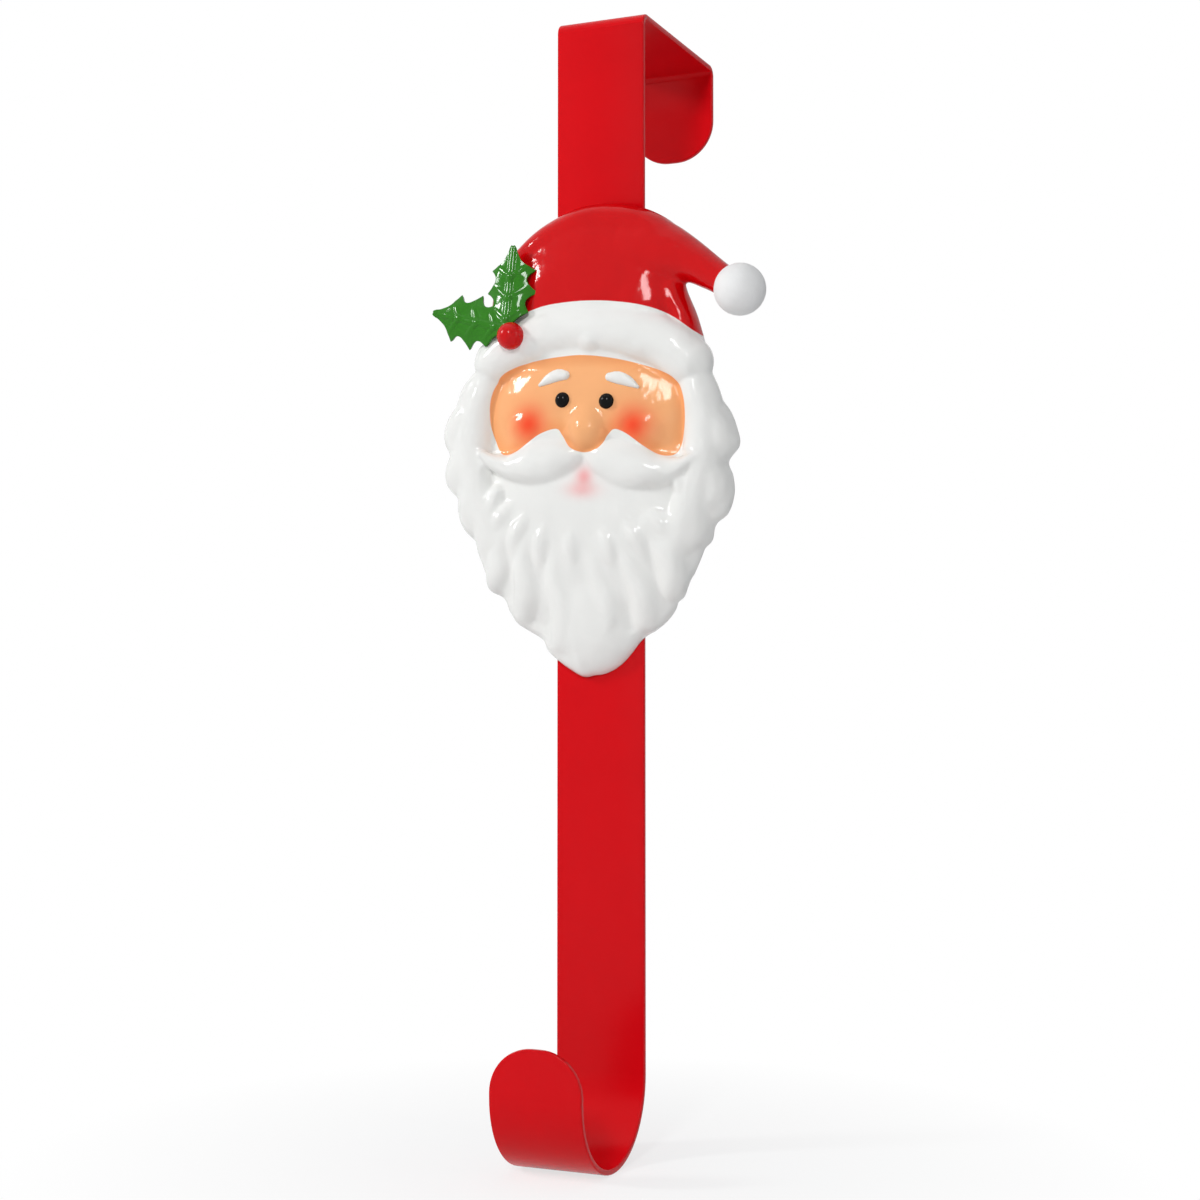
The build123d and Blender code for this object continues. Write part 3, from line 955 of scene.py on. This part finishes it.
leaf_finish = plain_enamel("leaf_enamel", LEAF_GREEN, roughness=0.10, gloss=LEAF_GLOSS, waves=3.2, peel=0.05)
for name, (root, tip) in LEAVES.items():
    run = Vector(tip) - Vector(root)
    along = run.normalized()
    side = Vector((0, 0, 1)).cross(along).normalized()
    leaf_turn = Matrix((along, side, along.cross(side))).transposed().to_4x4()
    blade = bmesh.new()
    bmesh.ops.create_grid(blade, x_segments=110, y_segments=44, size=0.5)
    for vert in blade.verts:
        share = vert.co.x + 0.5
        aside = 2 * vert.co.y * leaf_half_width(share)
        vert.co = (share * run.length, aside, leaf_height(share, aside, run.length))
    bmesh.ops.transform(blade, matrix=Matrix.Translation(root) @ leaf_turn, verts=blade.verts)
    bmesh.ops.recalc_face_normals(blade, faces=blade.faces)
    bmesh.ops.solidify(blade, geom=blade.faces[:], thickness=LEAF_BODY)
    make_piece(name, blade, head_place, leaf_finish, "holly_leaves")

# %% [markdown]
# ## Berry and ball
# The construction builds both from a few gores. Here they become true balls at the same places. The berry
# is glossy red, with the waves of thick paint. The ball is the one matt thing on the object, with a fine
# grain.

# %% Berry and ball
BERRY_PLACE = (-21.6, 26.8, 10.6)
BERRY_RADIUS = 3.7
BERRY_RED = (0.62, 0.003, 0.005)
BALL_PLACE = (41.9, 38.6, 7.0)
BALL_RADIUS = 6.8
BALL_WHITE = (0.85, 0.85, 0.84)
BALL_GLOSS = 0.5

berry_finish = plain_enamel(
    "berry_enamel", BERRY_RED, roughness=0.18, gloss=ENAMEL_GLOSS, waves=1.6, peel=0.05
)
ball_finish = plain_enamel("ball_matt", BALL_WHITE, roughness=0.72, gloss=BALL_GLOSS, waves=0.1, peel=0.25)

for name, middle, radius, finish, slot, node in (
    ("berry", BERRY_PLACE, BERRY_RADIUS, berry_finish, "berry_red", "holly_berry"),
    ("ball", BALL_PLACE, BALL_RADIUS, ball_finish, "pom_white", "pom_pom"),
):
    bead = bmesh.new()
    seat = Matrix.Translation(middle)
    bmesh.ops.create_uvsphere(bead, u_segments=72, v_segments=36, radius=radius, matrix=seat)
    make_piece(name, bead, head_place, finish, node)

# %% [markdown]
# ## The studio
# The hanger stands on a white sweep under soft lamps, so that the enamel shows soft highlights. The floor
# is white and keeps the shadow near the foot. Far from the foot it turns into plain white light, which
# hides the horizon. That light, and the white of the surroundings, is only for what the camera sees and
# what gloss mirrors. What lights the pieces is the lamps and a dim room.

# %% Floor
FLOOR_UP = -0.3035
FLOOR_HALF = 6
FLOOR_WHITE = (0.96, 0.96, 0.96, 1)
PLAIN_WHITE = (1, 1, 1, 1)
FOOT = (0, -0.045, FLOOR_UP)
# How much of the floor is plain light at the foot, and how much more for every metre from it
FAR_AT_FOOT, FAR_PER_METRE = 0.70, 2.0


def seen_rays(tree):
    """1 for rays from the camera, from gloss or through glass, and 0 for light that only bounces."""
    rays = tree.nodes.new("ShaderNodeLightPath").outputs
    seen = maths(tree, "MAXIMUM", rays["Is Camera Ray"], rays["Is Glossy Ray"])
    return maths(tree, "MAXIMUM", seen, rays["Is Transmission Ray"])


def blend_shaders(tree, amount, first, second, output):
    """Sends two shaders, mixed by an amount, to the output."""
    blend = tree.nodes.new("ShaderNodeMixShader")
    tree.links.new(amount, blend.inputs[0])
    tree.links.new(first.outputs[0], blend.inputs[1])
    tree.links.new(second.outputs[0], blend.inputs[2])
    tree.links.new(blend.outputs[0], output.inputs["Surface"])


sweep = bmesh.new()
floor_place = Matrix.Translation((0, 0, FLOOR_UP))
bmesh.ops.create_grid(sweep, x_segments=1, y_segments=1, size=FLOOR_HALF, matrix=floor_place)
floor_mesh = bpy.data.meshes.new("floor")
sweep.to_mesh(floor_mesh)
sweep.free()
floor = bpy.data.objects.new("floor", floor_mesh)
scene.collection.objects.link(floor)

floor_finish, tree, shader, place = start_finish("white_sweep")
shader.inputs["Base Color"].default_value = FLOOR_WHITE
shader.inputs["Roughness"].default_value = 0.9
shader.inputs["Specular IOR Level"].default_value = 0.0
reach = tree.nodes.new("ShaderNodeVectorMath")
reach.operation = "DISTANCE"
reach.inputs[1].default_value = FOOT
tree.links.new(place, reach.inputs[0])
far = maths(tree, "MULTIPLY_ADD", reach.outputs["Value"], FAR_PER_METRE, FAR_AT_FOOT, clamp=True)
white = tree.nodes.new("ShaderNodeEmission")
white.inputs["Color"].default_value = PLAIN_WHITE
plain = maths(tree, "MULTIPLY", far, seen_rays(tree))
blend_shaders(tree, plain, shader, white, tree.nodes["Material Output"])
floor_mesh.materials.append(floor_finish)
print("floor at", FLOOR_UP, "m")

# %% Lamps
MIDDLE = (0, -0.03, -0.14)
BELOW = (0, -0.05, -0.3)


def softbox(name, where, aim, size, watts):
    """Rectangular area lamp that looks at a place."""
    lamp = bpy.data.lights.new(name, "AREA")
    lamp.shape = "RECTANGLE"
    lamp.size, lamp.size_y = size
    lamp.energy = watts
    holder = bpy.data.objects.new(name, lamp)
    holder.location = where
    holder.rotation_euler = (Vector(aim) - Vector(where)).to_track_quat("-Z", "Y").to_euler()
    scene.collection.objects.link(holder)
    print("lamp", name, "gives", watts, "W")


softbox("key_left", where=(-0.82, -0.58, 0.36), aim=MIDDLE, size=(0.13, 0.22), watts=4.8)
softbox("window", where=(0.13, -1.00, 0.40), aim=MIDDLE, size=(0.16, 0.25), watts=4.0)
softbox("front_low", where=(0.45, -1.05, -0.25), aim=MIDDLE, size=(0.5, 0.4), watts=0.3)
softbox("strip_right", where=(0.95, -0.25, 0.10), aim=MIDDLE, size=(0.10, 0.6), watts=0.7)
softbox("overhead", where=(0.0, -0.15, 0.95), aim=BELOW, size=(1.2, 1.2), watts=1.6)

# %% Surroundings
ROOM_COLOUR = (0.9, 0.93, 1.0, 1)
ROOM_STRENGTH = 0.22
BACKDROP_STRENGTH = 1.0

world = bpy.data.worlds.new("studio")
scene.world = world
world.use_nodes = True
tree = world.node_tree
tree.nodes.clear()
room = tree.nodes.new("ShaderNodeBackground")
room.inputs["Color"].default_value = ROOM_COLOUR
room.inputs["Strength"].default_value = ROOM_STRENGTH
backdrop = tree.nodes.new("ShaderNodeBackground")
backdrop.inputs["Color"].default_value = PLAIN_WHITE
backdrop.inputs["Strength"].default_value = BACKDROP_STRENGTH
blend_shaders(tree, seen_rays(tree), room, backdrop, tree.nodes.new("ShaderNodeOutputWorld"))
print("the room lights with a strength of", ROOM_STRENGTH)

# %% [markdown]
# ## The camera
# It stands a little to the right of the hanger, about halfway up, and looks slightly upward.

# %% Camera
LENS_LENGTH = 60
SENSOR_WIDTH = 36
CAMERA_PLACE = (0.2125, -0.5202, -0.1753)
CAMERA_TILT = radians(91.99)
CAMERA_TURN = radians(23.33)

lens = bpy.data.cameras.new("camera")
lens.lens = LENS_LENGTH
lens.sensor_width = SENSOR_WIDTH
camera = bpy.data.objects.new("camera", lens)
camera.location = CAMERA_PLACE
camera.rotation_euler = (CAMERA_TILT, 0, CAMERA_TURN)
scene.collection.objects.link(camera)
scene.camera = camera
print("camera at", CAMERA_PLACE, "m with a lens of", LENS_LENGTH, "mm")
